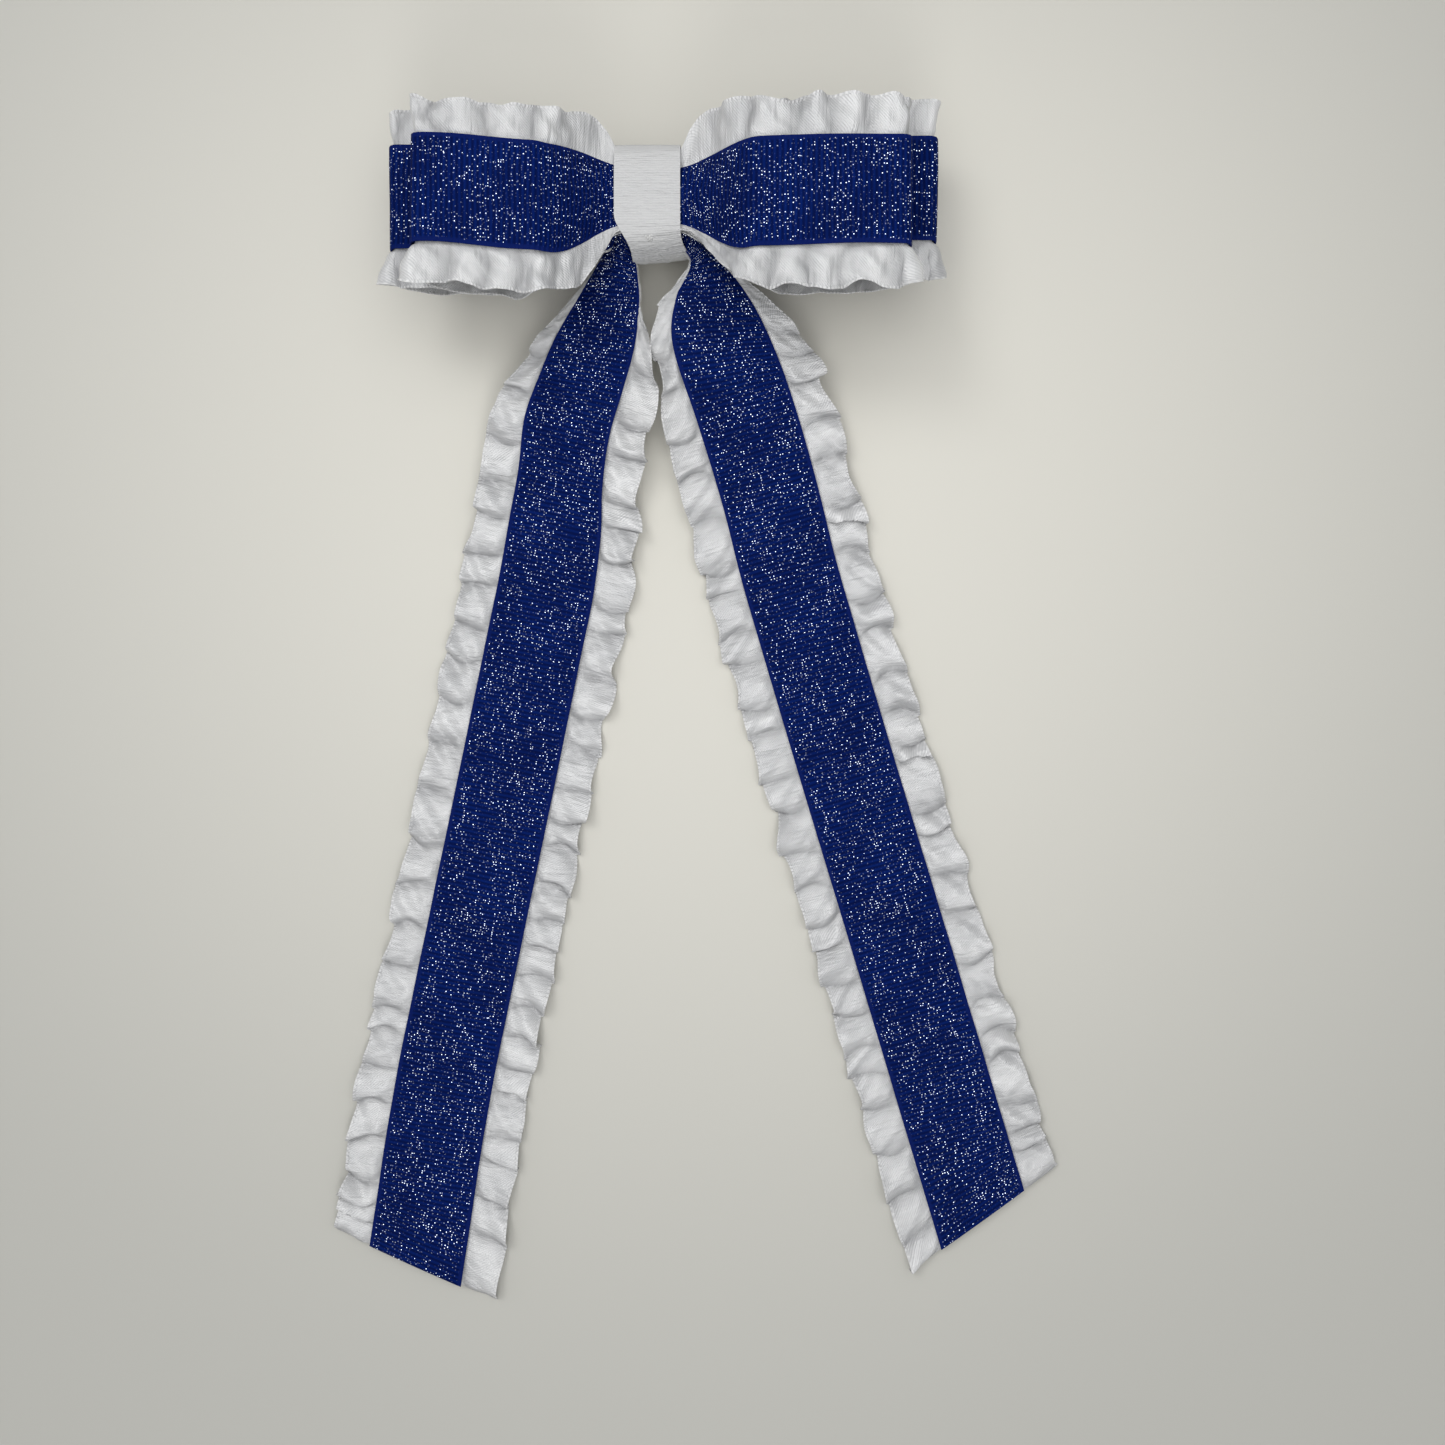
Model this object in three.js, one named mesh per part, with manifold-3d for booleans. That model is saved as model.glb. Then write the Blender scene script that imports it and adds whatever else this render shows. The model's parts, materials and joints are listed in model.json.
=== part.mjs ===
// Cheer hair bow: two stacked pairs of ribbon loops and a strip with two long tails, pinched at
// the waist, tied with thread, glued on a French barrette and closed with a ribbon wrap.
// Millimetres. +Z is the side that shows, +Y the top, the tails run towards -Y, and the origin is
// under the waist on the flat underside of the barrette's clasp arm.
import * as THREE from "three";
import { mergeVertices } from "three/addons/utils/BufferGeometryUtils.js";
import Module from "manifold-3d";

const GAP = 0.3; // clearance between pieces that touch

// Ribbons
const RIBBON_WIDTH = 25.4;
const RUFFLE_WIDTH = 45;
const RIBBON_THICKNESS = 0.7;
const RUFFLE_THICKNESS = 1.35;
const THREAD_THICKNESS = 0.5;
const THREAD_WIDTH = 3;

// Waist: everything there is centred on WAIST_Y
const WAIST_Y = 1;
const RIBBON_WAIST_WIDTH = 13.6;
const RUFFLE_WAIST_WIDTH = 20;
const WRAP_WIDTH = 16;
const WRAP_THICKNESS = 0.6;

// Barrette
const PLATE_WIDTH = 9;
const PLATE_THICKNESS = 0.8;
const PLATE_TOP = 9.8; // at the middle of its arch
const PLATE_SAG = 3.4; // drop of the arch at PLATE_SAG_X
const PLATE_SAG_X = 36;
const PIN_X = -38.5;
const PIN_Z = 2.4;
const PIN_RADIUS = 0.6;
const KNUCKLE_RADIUS = 1.7;
const ARM_WIDTH = 6;
const ARM_THICKNESS = 1;
const CATCH_X = 36.8;
const CATCH = {
  halfLength: 2.3, outside: 4.2, inside: 3.4, stop: 2.4,
  top: 4.7, baseThickness: 0.6, bottom: 0.8, stopHeight: 0.6,
};
const RIVET_HOLE = 1.1;
const TENSION_BAR = { reach: 33, width: 5, thickness: 0.5, height: 6.1, rise: 1 };

// Loop pairs: reach of each side, heights of the ribbon's outer faces, where the loop starts to
// open and where it is fully open, and how far its middle line lies off the waist's
const BACK_LOOPS = {
  reach: { left: 65, right: 71.5 }, bottom: 11, top: 26, opens: 14, open: 32,
  shift: { left: 1.8, right: 3.2 },
};
const FRONT_LOOPS = {
  reach: { left: 55.5, right: 63 }, bottom: 27, top: 42, opens: 8.5, open: 26,
  shift: { left: -4.4, right: -4.6 },
};
const LOOP_END_RADIUS = 6.5;

// Tails: middle line of each from the hinge line to the cut end, and how much the end slants
const HINGE_Y = -29;
const HINGE_Z = 12;
const HINGE_GAP = 1.2; // on each side of the hinge line
const TAIL_GAP = 0.5; // between a tail's two ribbons
const TAIL_LOW = 1.9; // height of the join between the two ribbons where the tail lies flat
const LEFT_TAIL = {
  line: [[-14.6, -30.2, 11.8], [-18.4, -40, 10], [-22.6, -53, 8], [-25.6, -70, 4.6],
    [-29, -92, 2.2], [-34.7, -121.5, TAIL_LOW], [-45.9, -174.5, TAIL_LOW],
    [-56.3, -227.5, TAIL_LOW], [-63.2, -271.4, TAIL_LOW]],
  endSlant: 0.28,
};
const RIGHT_TAIL = {
  line: [[17.8, -30.2, 11.8], [21.6, -40, 10], [26.2, -53, 8], [31.4, -70, 4.6],
    [37.5, -92, 2.2], [45.8, -121.5, TAIL_LOW], [61, -174.5, TAIL_LOW],
    [77.3, -227.5, TAIL_LOW], [87, -258.9, TAIL_LOW]],
  endSlant: -0.35,
};
const TAIL_STEP = 9; // distance between a tail's stations
const MIDDLE_LINE_X = 1.5; // the two tails stay on their own sides of this line

const NYLON = { roughness: 0.7, metalness: 0 };
const STEEL = { color: 0xc4c6c8, roughness: 0.3, metalness: 1 };

const wasm = await Module();
wasm.setup();

const bow = new THREE.Group();

function addPiece(name, geometry, look) {
  const piece = new THREE.Mesh(geometry, new THREE.MeshStandardMaterial(look));
  piece.name = name;
  bow.add(piece);
}

function smooth(from, to, value) {
  return THREE.MathUtils.smoothstep(value, from, to);
}

function mix(a, b, amount) {
  return THREE.MathUtils.lerp(a, b, amount);
}

// ---------------------------------------------------------------- shared shapes

function toSolid(geometry) {
  const bare = geometry.clone();
  bare.deleteAttribute("normal");
  bare.deleteAttribute("uv");
  const merged = mergeVertices(bare, 1e-4);
  return new wasm.Manifold(new wasm.Mesh({
    numProp: 3,
    vertProperties: merged.attributes.position.array,
    triVerts: new Uint32Array(merged.index.array),
  }));
}

function fromSolid(solid) {
  const mesh = solid.getMesh();
  const geometry = new THREE.BufferGeometry();
  geometry.setAttribute("position", new THREE.BufferAttribute(mesh.vertProperties, 3));
  geometry.setIndex(new THREE.BufferAttribute(mesh.triVerts, 1));
  return geometry;
}

// A strip swept through stations. Each station holds the strip's two edges at mid thickness, the
// way its face looks there and its thickness.
function strip(stations, closed = false) {
  const corners = stations.flatMap(({ edgeA, edgeB, face, thickness }) => {
    const half = face.clone().multiplyScalar(thickness / 2);
    return [
      edgeA.clone().sub(half), edgeB.clone().sub(half),
      edgeB.clone().add(half), edgeA.clone().add(half),
    ];
  });
  const index = [];
  const spans = closed ? stations.length : stations.length - 1;
  for (let span = 0; span < spans; span++) {
    const here = span * 4;
    const next = ((span + 1) % stations.length) * 4;
    for (let side = 0; side < 4; side++) {
      const turn = (side + 1) % 4;
      index.push(here + side, here + turn, next + turn);
      index.push(here + side, next + turn, next + side);
    }
  }
  if (!closed) {
    const end = spans * 4;
    index.push(0, 2, 1, 0, 3, 2);
    index.push(end, end + 1, end + 2, end, end + 2, end + 3);
  }
  const geometry = new THREE.BufferGeometry().setFromPoints(corners);
  geometry.setIndex(enclosedVolume(corners, index) < 0 ? index.reverse() : index);
  return geometry;
}

function enclosedVolume(points, index) {
  let volume = 0;
  for (let i = 0; i < index.length; i += 3) {
    const [a, b, c] = [points[index[i]], points[index[i + 1]], points[index[i + 2]]];
    volume += a.dot(b.clone().cross(c)) / 6;
  }
  return volume;
}

// An outline drawn in the Y-Z plane, pushed along X and centred on x = 0
function alongX(shape, length) {
  const geometry = new THREE.ExtrudeGeometry(shape, {
    depth: length, bevelEnabled: false, curveSegments: 6,
  });
  geometry.translate(0, 0, -length / 2);
  const [x, y, z] = [new THREE.Vector3(1, 0, 0), new THREE.Vector3(0, 1, 0), new THREE.Vector3(0, 0, 1)];
  return geometry.applyMatrix4(new THREE.Matrix4().makeBasis(y, z, x));
}

// An outline drawn in the X-Z plane, pushed along Y from yLow to yHigh
function alongY(shape, yLow, yHigh) {
  const geometry = new THREE.ExtrudeGeometry(shape, {
    depth: yHigh - yLow, bevelEnabled: false, curveSegments: 10,
  });
  geometry.rotateX(Math.PI / 2);
  return geometry.translate(0, yHigh, 0);
}

function box(xLow, xHigh, yLow, yHigh, zLow, zHigh) {
  const geometry = new THREE.BoxGeometry(xHigh - xLow, yHigh - yLow, zHigh - zLow);
  return geometry.translate((xLow + xHigh) / 2, (yLow + yHigh) / 2, (zLow + zHigh) / 2);
}

function traceRoundedBox(path, yLow, yHigh, zLow, zHigh, radius) {
  path.moveTo(yLow + radius, zLow);
  path.lineTo(yHigh - radius, zLow);
  path.absarc(yHigh - radius, zLow + radius, radius, -Math.PI / 2, 0);
  path.lineTo(yHigh, zHigh - radius);
  path.absarc(yHigh - radius, zHigh - radius, radius, 0, Math.PI / 2);
  path.lineTo(yLow + radius, zHigh);
  path.absarc(yLow + radius, zHigh - radius, radius, Math.PI / 2, Math.PI);
  path.lineTo(yLow, zLow + radius);
  path.absarc(yLow + radius, zLow + radius, radius, Math.PI, Math.PI * 1.5);
  return path;
}

// A flat ring round the waist: inner faces at the given limits, wall and length along X as given
function waistRing({ yMiddle, halfWidth, zLow, zHigh, wall, length, innerRadius }) {
  const ring = traceRoundedBox(
    new THREE.Shape(), yMiddle - halfWidth - wall, yMiddle + halfWidth + wall,
    zLow - wall, zHigh + wall, innerRadius + wall,
  );
  ring.holes.push(traceRoundedBox(
    new THREE.Path(), yMiddle - halfWidth, yMiddle + halfWidth, zLow, zHigh, innerRadius,
  ));
  return alongX(ring, length);
}

// ---------------------------------------------------------------- the stack at the waist

// Heights from the plate up: glue, back loops, folded tail strip, front loops, wrap
const LOOP_STACK = 2 * (RIBBON_THICKNESS + RUFFLE_THICKNESS) + 3 * GAP;
const FOLD_STACK = RIBBON_THICKNESS + RUFFLE_THICKNESS + GAP;
const THREAD_ROOM = THREAD_THICKNESS + GAP;
const GLUE_LOW = PLATE_TOP + GAP;
const GLUE_HIGH = GLUE_LOW + 0.6;
const BACK_LOW = GLUE_HIGH + GAP + THREAD_ROOM;
const FOLD_LOW = BACK_LOW + LOOP_STACK + 2 * THREAD_ROOM + GAP;
const FRONT_LOW = FOLD_LOW + FOLD_STACK + 2 * THREAD_ROOM + GAP;
const STACK_TOP = FRONT_LOW + LOOP_STACK + THREAD_ROOM;

function threadRing(yMiddle, halfWidth, low, stack) {
  return waistRing({
    yMiddle, halfWidth: halfWidth + GAP, zLow: low - GAP, zHigh: low + stack + GAP,
    wall: THREAD_THICKNESS, length: THREAD_WIDTH, innerRadius: 1,
  });
}

function centreWrap() {
  return waistRing({
    yMiddle: WAIST_Y, halfWidth: RUFFLE_WAIST_WIDTH / 2 + 2 * GAP + THREAD_THICKNESS,
    zLow: PLATE_TOP - PLATE_THICKNESS - GAP, zHigh: STACK_TOP + GAP,
    wall: WRAP_THICKNESS, length: WRAP_WIDTH, innerRadius: 1.8,
  });
}

// ---------------------------------------------------------------- loops

// The line between the ribbon (outside) and the ruffle (inside), as points in the X-Z plane going
// once round both loops, each with the direction that faces out of the loop
function loopLine(loops, low) {
  const skin = RIBBON_THICKNESS + GAP / 2;
  const waist = { middle: low + LOOP_STACK / 2, half: LOOP_STACK / 2 - skin };
  const full = { middle: (loops.top + loops.bottom) / 2, half: (loops.top - loops.bottom) / 2 - skin };
  const points = [];
  const addPoint = (x, height) => {
    const opening = smooth(loops.opens, loops.open, Math.abs(x));
    const half = mix(waist.half, full.half, opening);
    points.push(new THREE.Vector2(x, mix(waist.middle, full.middle, opening) + height * half));
  };
  const straightSteps = 12;
  const endSteps = 8;
  for (const side of [1, -1]) {
    const reach = (side > 0 ? loops.reach.right : loops.reach.left) - skin;
    const straight = reach - LOOP_END_RADIUS;
    for (let i = 0; i < straightSteps; i++) {
      addPoint(side * straight * (i / straightSteps), side);
    }
    for (let i = 0; i <= endSteps; i++) {
      const angle = Math.PI * (0.5 - i / endSteps);
      addPoint(side * (straight + LOOP_END_RADIUS * Math.cos(angle)), side * Math.sin(angle));
    }
    for (let i = straightSteps - 1; i > 0; i--) {
      addPoint(side * straight * (i / straightSteps), -side);
    }
  }
  return points;
}

function loopBand(loops, low, waistWidth, width, offset, thickness) {
  const line = loopLine(loops, low);
  const count = line.length;
  const stations = line.map((point, i) => {
    const along = line[(i + 1) % count].clone().sub(line[(i + count - 1) % count]).normalize();
    const face = new THREE.Vector3(-along.y, 0, along.x);
    const reachShare = smooth(loops.opens, loops.open, Math.abs(point.x));
    const shift = point.x > 0 ? loops.shift.right : loops.shift.left;
    const yMiddle = WAIST_Y + reachShare * shift;
    const halfWidth = mix(waistWidth, width, smooth(WRAP_WIDTH / 2, 27, Math.abs(point.x))) / 2;
    const centre = new THREE.Vector3(point.x, yMiddle, point.y).addScaledVector(face, offset);
    return {
      edgeA: centre.clone().setY(yMiddle - halfWidth),
      edgeB: centre.clone().setY(yMiddle + halfWidth),
      face, thickness,
    };
  });
  return strip(stations, true);
}

function loopRibbon(loops, low) {
  const offset = (GAP + RIBBON_THICKNESS) / 2;
  return loopBand(loops, low, RIBBON_WAIST_WIDTH, RIBBON_WIDTH, offset, RIBBON_THICKNESS);
}

function loopRuffle(loops, low) {
  const offset = -(GAP + RUFFLE_THICKNESS) / 2;
  return loopBand(loops, low, RUFFLE_WAIST_WIDTH, RUFFLE_WIDTH, offset, RUFFLE_THICKNESS);
}

// ---------------------------------------------------------------- tail strip

// The middle of the tail strip, folded to an arch under the wrap. Each row is one line across the
// left half of the ruffle, from the waist to the hinge line: its outer and inner end, how much of
// the way down to the hinge it has come, and how far in from each end the ribbon's edges lie, as
// shares of the line. The right half mirrors it, shifted to meet the right tail.
const FOLD_LINES = [
  { outer: [0, 8], inner: [0, -7.8], down: 0, inset: [0.03, 0.02] },
  { outer: [6, 7.4], inner: [6, -8.2], down: 0, inset: [0.03, 0.02] },
  { outer: [10.6, 1], inner: [8.8, -9], down: 0, inset: [0.03, 0.02] },
  { outer: [12.6, -6], inner: [8.8, -11.8], down: 0, inset: [0.05, 0.02] },
  { outer: [13.4, -12], inner: [7.4, -14], down: 0.1, inset: [0.07, 0.03] },
  { outer: [15, -18], inner: [4.6, -17.6], down: 0.36, inset: [0.09, 0.05] },
  { outer: [20.5, -23.4], inner: [1.4, -22.8], down: 0.72, inset: [0.13, 0.09] },
  { outer: [31, HINGE_Y + HINGE_GAP], inner: [0.2, HINGE_Y + HINGE_GAP], down: 1, inset: [0.18, 0.11] },
];
const RIGHT_SHIFT = 3; // of the right half at the hinge line

// Stations across one half, from the waist out: the rows above joined by smooth curves
function foldHalf(side, low, lowAtHinge, thickness, insetShare) {
  const curve = (rows) => new THREE.CatmullRomCurve3(rows.map((row) => new THREE.Vector3(...row)));
  const outerEdge = curve(FOLD_LINES.map(({ outer, down }) => [...outer, down]));
  const innerEdge = curve(FOLD_LINES.map(({ inner, down }) => [...inner, down]));
  const insets = curve(FOLD_LINES.map(({ inset }) => [...inset, 0]));
  const steps = 4 * (FOLD_LINES.length - 1);
  const stations = [];
  for (let i = 0; i <= steps; i++) {
    const inset = insets.getPoint(i / steps);
    const ends = [outerEdge, innerEdge].map((edge) => edge.getPoint(i / steps));
    const down = THREE.MathUtils.clamp(ends[0].z, 0, 1);
    for (const end of ends) {
      end.x = side * end.x + (side > 0 ? RIGHT_SHIFT * down : 0);
      end.z = mix(low, lowAtHinge, down) + thickness / 2;
    }
    stations.push({
      edgeA: ends[0].clone().lerp(ends[1], inset.x * insetShare),
      edgeB: ends[1].clone().lerp(ends[0], inset.y * insetShare),
      face: new THREE.Vector3(0, 0, 1),
      thickness,
    });
  }
  return stations;
}

function foldStrip(...sizes) {
  return strip([...foldHalf(-1, ...sizes).reverse(), ...foldHalf(1, ...sizes).slice(1)]);
}

function foldRuffle() {
  const lowAtHinge = HINGE_Z - TAIL_GAP / 2 - RUFFLE_THICKNESS;
  return foldStrip(FOLD_LOW, lowAtHinge, RUFFLE_THICKNESS, 0);
}

function foldRibbon() {
  const low = FOLD_LOW + RUFFLE_THICKNESS + GAP;
  return foldStrip(low, HINGE_Z + TAIL_GAP / 2, RIBBON_THICKNESS, 1);
}

// A tail lies flat across its width. Its first edge runs along X, so that it can hinge there, and
// the rest turn square to its middle line. halfWidth gives its half width by distance from there.
function tailStations(tail, halfWidth, offset, thickness) {
  const points = tail.line.map((point) => new THREE.Vector3(...point));
  const curve = new THREE.CatmullRomCurve3(points, false, "centripetal");
  const length = curve.getLength();
  const steps = Math.round(length / TAIL_STEP);
  const up = new THREE.Vector3(0, 0, 1);
  const stations = [];
  for (let i = 0; i <= steps; i++) {
    const share = i / steps;
    const middle = curve.getPointAt(share);
    const along = curve.getTangentAt(share).setZ(0).normalize();
    const square = new THREE.Vector3(-along.y, along.x, 0);
    const turned = smooth(0, 45, share * length);
    const across = new THREE.Vector3(1, 0, 0).lerp(square, turned).normalize();
    const slant = tail.endSlant * smooth(0.8, 1, share);
    const edge = (side) => {
      const reach = halfWidth(share * length);
      const point = middle.clone().addScaledVector(across, side * reach);
      point.addScaledVector(along, side * reach * slant);
      const limit = MIDDLE_LINE_X + Math.sign(tail.line[0][0]) * GAP;
      point.x = tail.line[0][0] < 0 ? Math.min(point.x, limit) : Math.max(point.x, limit);
      return point.setZ(Math.max(middle.z, TAIL_LOW) + offset);
    };
    stations.push({ edgeA: edge(-1), edgeB: edge(1), face: up, thickness });
  }
  return stations;
}

function tailRibbon(tail) {
  const halfWidth = (distance) => mix(10.6, RIBBON_WIDTH / 2, smooth(0, 30, distance));
  return strip(tailStations(tail, halfWidth, (TAIL_GAP + RIBBON_THICKNESS) / 2, RIBBON_THICKNESS));
}

function tailRuffle(tail) {
  const halfWidth = (distance) => mix(16.4, RUFFLE_WIDTH / 2, smooth(0, 35, distance));
  return strip(tailStations(tail, halfWidth, -(TAIL_GAP + RUFFLE_THICKNESS) / 2, RUFFLE_THICKNESS));
}

// ---------------------------------------------------------------- barrette

function plateDrop(x) {
  return PLATE_SAG * (x / PLATE_SAG_X) ** 2;
}

function archedStrip(xLow, xHigh, steps, width, thickness, height) {
  const stations = [];
  for (let i = 0; i <= steps; i++) {
    const x = mix(xLow, xHigh, i / steps);
    stations.push({
      edgeA: new THREE.Vector3(x, -width / 2, height(x)),
      edgeB: new THREE.Vector3(x, width / 2, height(x)),
      face: new THREE.Vector3(0, 0, 1),
      thickness,
    });
  }
  return strip(stations);
}

function hingeEar() {
  const ear = new THREE.Shape();
  ear.moveTo(PIN_X + KNUCKLE_RADIUS, PIN_Z);
  ear.lineTo(PIN_X + KNUCKLE_RADIUS, PIN_Z + 3.1);
  ear.lineTo(PIN_X - KNUCKLE_RADIUS, PIN_Z + 3.1);
  ear.lineTo(PIN_X - KNUCKLE_RADIUS, PIN_Z);
  ear.absarc(PIN_X, PIN_Z, KNUCKLE_RADIUS, Math.PI, Math.PI * 2);
  ear.holes.push(new THREE.Path().absarc(PIN_X, PIN_Z, PIN_RADIUS + GAP, 0, Math.PI * 2));
  return ear;
}

function barrettePlate() {
  const end = PIN_X - KNUCKLE_RADIUS;
  const middleZ = PLATE_TOP - PLATE_THICKNESS / 2;
  const arch = archedStrip(end, -end, 24, PLATE_WIDTH, PLATE_THICKNESS, (x) => middleZ - plateDrop(x));
  const outside = PLATE_WIDTH / 2;
  const inside = outside - PLATE_THICKNESS;
  const rivetHole = new THREE.CylinderGeometry(RIVET_HOLE, RIVET_HOLE, 6, 16).rotateX(Math.PI / 2);
  rivetHole.translate(CATCH_X, 0, PLATE_TOP - plateDrop(CATCH_X));
  return fromSolid(
    toSolid(arch)
      .add(toSolid(alongY(hingeEar(), inside, outside)))
      .add(toSolid(alongY(hingeEar(), -outside, -inside)))
      .subtract(toSolid(rivetHole)),
  );
}

// A flat strip with a knuckle on the pin at one end and a raised, narrower tip at the other
function claspArm() {
  const tip = 38.8;
  const lift = 1.6;
  const side = new THREE.Shape();
  side.moveTo(PIN_X, PIN_Z - KNUCKLE_RADIUS);
  side.lineTo(-34, 0);
  side.lineTo(30, 0);
  side.lineTo(33, lift);
  side.lineTo(tip, lift);
  side.lineTo(tip, lift + ARM_THICKNESS);
  side.lineTo(32.6, lift + ARM_THICKNESS);
  side.lineTo(29.6, ARM_THICKNESS);
  side.lineTo(-34.6, ARM_THICKNESS);
  side.lineTo(PIN_X + KNUCKLE_RADIUS, PIN_Z - 0.3);
  side.absarc(PIN_X, PIN_Z, KNUCKLE_RADIUS, -0.18, Math.PI * 1.5);
  side.holes.push(new THREE.Path().absarc(PIN_X, PIN_Z, PIN_RADIUS + GAP, 0, Math.PI * 2));
  const half = ARM_WIDTH / 2;
  const tipHalf = 2.1;
  return fromSolid(
    toSolid(alongY(side, -half, half))
      .subtract(toSolid(box(33, tip + 1, tipHalf, half + 1, 0, 5)))
      .subtract(toSolid(box(33, tip + 1, -half - 1, -tipHalf, 0, 5))),
  );
}

// The spring strip between the plate and the clasp arm that presses on the hair
function tensionBar() {
  const { reach, width, thickness, height, rise } = TENSION_BAR;
  return archedStrip(-reach, reach, 16, width, thickness, (x) => height - rise * (x / reach) ** 2);
}

// A bracket under the plate's end: two prongs with small inward stops that the arm's tip passes
function barretteCatch() {
  const { halfLength, outside, inside, stop, top, baseThickness, bottom, stopHeight } = CATCH;
  const [xLow, xHigh] = [CATCH_X - halfLength, CATCH_X + halfLength];
  const [prongLow, prongHigh] = [xLow + 0.5, xHigh - 0.5];
  const under = top - baseThickness;
  const joined = under + 0.2;
  const hole = new THREE.CylinderGeometry(RIVET_HOLE, RIVET_HOLE, 3, 16).rotateX(Math.PI / 2);
  hole.translate(CATCH_X, 0, (top + under) / 2);
  return fromSolid(
    toSolid(box(xLow, xHigh, -outside, outside, under, top))
      .add(toSolid(box(prongLow, prongHigh, inside, outside, bottom, joined)))
      .add(toSolid(box(prongLow, prongHigh, -outside, -inside, bottom, joined)))
      .add(toSolid(box(prongLow, prongHigh, stop, inside + 0.2, bottom, bottom + stopHeight)))
      .add(toSolid(box(prongLow, prongHigh, -inside - 0.2, -stop, bottom, bottom + stopHeight)))
      .subtract(toSolid(hole)),
  );
}

function catchRivet() {
  const [stem, head, headThickness] = [0.8, 1.6, 0.5];
  const low = CATCH.top - CATCH.baseThickness - GAP;
  const high = PLATE_TOP - plateDrop(CATCH_X) + GAP + 0.35;
  const outline = [
    [0, low - headThickness], [head, low - headThickness], [head, low], [stem, low],
    [stem, high], [head, high], [head - 0.3, high + headThickness], [0, high + headThickness],
  ].map(([r, z]) => new THREE.Vector2(r, z));
  return new THREE.LatheGeometry(outline, 16).rotateX(Math.PI / 2).translate(CATCH_X, 0, 0);
}

function hingePin() {
  return new THREE.CylinderGeometry(PIN_RADIUS, PIN_RADIUS, PLATE_WIDTH + 1.2, 16).translate(PIN_X, 0, PIN_Z);
}

// ---------------------------------------------------------------- assembly

const GLITTER = { color: 0x1b3f9c, ...NYLON };
const SATIN = { color: 0xeeeeee, roughness: 0.45, metalness: 0 };
const THREAD = { color: 0xf2f2f0, ...NYLON };
const GLUE = { color: 0xe9e4d4, roughness: 0.35, metalness: 0 };

const loopWaist = RUFFLE_WAIST_WIDTH / 2;

addPiece("center_wrap", centreWrap(), { color: 0xf0f0ee, ...NYLON });
addPiece("front_loops_ribbon", loopRibbon(FRONT_LOOPS, FRONT_LOW), GLITTER);
addPiece("front_loops_ruffle", loopRuffle(FRONT_LOOPS, FRONT_LOW), SATIN);
addPiece("back_loops_ribbon", loopRibbon(BACK_LOOPS, BACK_LOW), GLITTER);
addPiece("back_loops_ruffle", loopRuffle(BACK_LOOPS, BACK_LOW), SATIN);
addPiece("tail_fold_ribbon", foldRibbon(), GLITTER);
addPiece("tail_fold_ruffle", foldRuffle(), SATIN);
addPiece("left_tail_ribbon", tailRibbon(LEFT_TAIL), GLITTER);
addPiece("left_tail_ruffle", tailRuffle(LEFT_TAIL), SATIN);
addPiece("right_tail_ribbon", tailRibbon(RIGHT_TAIL), GLITTER);
addPiece("right_tail_ruffle", tailRuffle(RIGHT_TAIL), SATIN);
addPiece("back_loops_thread", threadRing(WAIST_Y, loopWaist, BACK_LOW, LOOP_STACK), THREAD);
addPiece("tail_fold_thread", threadRing(0, 8, FOLD_LOW, FOLD_STACK), THREAD);
addPiece("front_loops_thread", threadRing(WAIST_Y, loopWaist, FRONT_LOW, LOOP_STACK), THREAD);
addPiece("glue_pad", box(-7, 7, -4, 4, GLUE_LOW, GLUE_HIGH), GLUE);
addPiece("barrette_plate", barrettePlate(), STEEL);
addPiece("barrette_catch", barretteCatch(), STEEL);
addPiece("catch_rivet", catchRivet(), STEEL);
addPiece("hinge_pin", hingePin(), STEEL);
addPiece("tension_bar", tensionBar(), STEEL);
addPiece("clasp_arm", claspArm(), STEEL);

export default bow;
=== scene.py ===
"""The looks of a cheer hair bow: glitter grosgrain ribbons over gathered satin ruffles, in two
stacked pairs of loops and two long tails, with a white grosgrain wrap and a French barrette.

Lengths are in millimetres here and become metres as each mesh is made. +Z faces the viewer of the
bow, +Y is its top and z = 0 is the surface that it lies on.
"""

import json
import math

import bpy
import numpy as np
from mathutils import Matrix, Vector


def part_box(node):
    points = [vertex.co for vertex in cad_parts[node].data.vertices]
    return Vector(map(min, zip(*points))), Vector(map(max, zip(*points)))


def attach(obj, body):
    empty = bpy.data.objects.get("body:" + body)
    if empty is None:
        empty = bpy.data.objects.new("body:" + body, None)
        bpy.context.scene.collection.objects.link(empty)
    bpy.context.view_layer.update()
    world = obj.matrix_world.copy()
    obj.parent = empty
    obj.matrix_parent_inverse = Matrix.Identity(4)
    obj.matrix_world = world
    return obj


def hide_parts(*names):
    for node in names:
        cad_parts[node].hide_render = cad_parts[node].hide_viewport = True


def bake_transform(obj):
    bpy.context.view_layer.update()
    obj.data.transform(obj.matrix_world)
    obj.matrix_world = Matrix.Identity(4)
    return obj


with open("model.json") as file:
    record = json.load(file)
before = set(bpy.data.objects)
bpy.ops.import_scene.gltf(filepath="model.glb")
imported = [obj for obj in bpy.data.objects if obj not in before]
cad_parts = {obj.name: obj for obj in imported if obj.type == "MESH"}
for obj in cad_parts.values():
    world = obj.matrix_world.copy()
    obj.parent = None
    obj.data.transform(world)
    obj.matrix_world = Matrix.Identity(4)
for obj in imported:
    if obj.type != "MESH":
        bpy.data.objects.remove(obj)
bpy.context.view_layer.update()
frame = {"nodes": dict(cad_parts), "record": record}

MM = 0.001
SEED = 7

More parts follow.
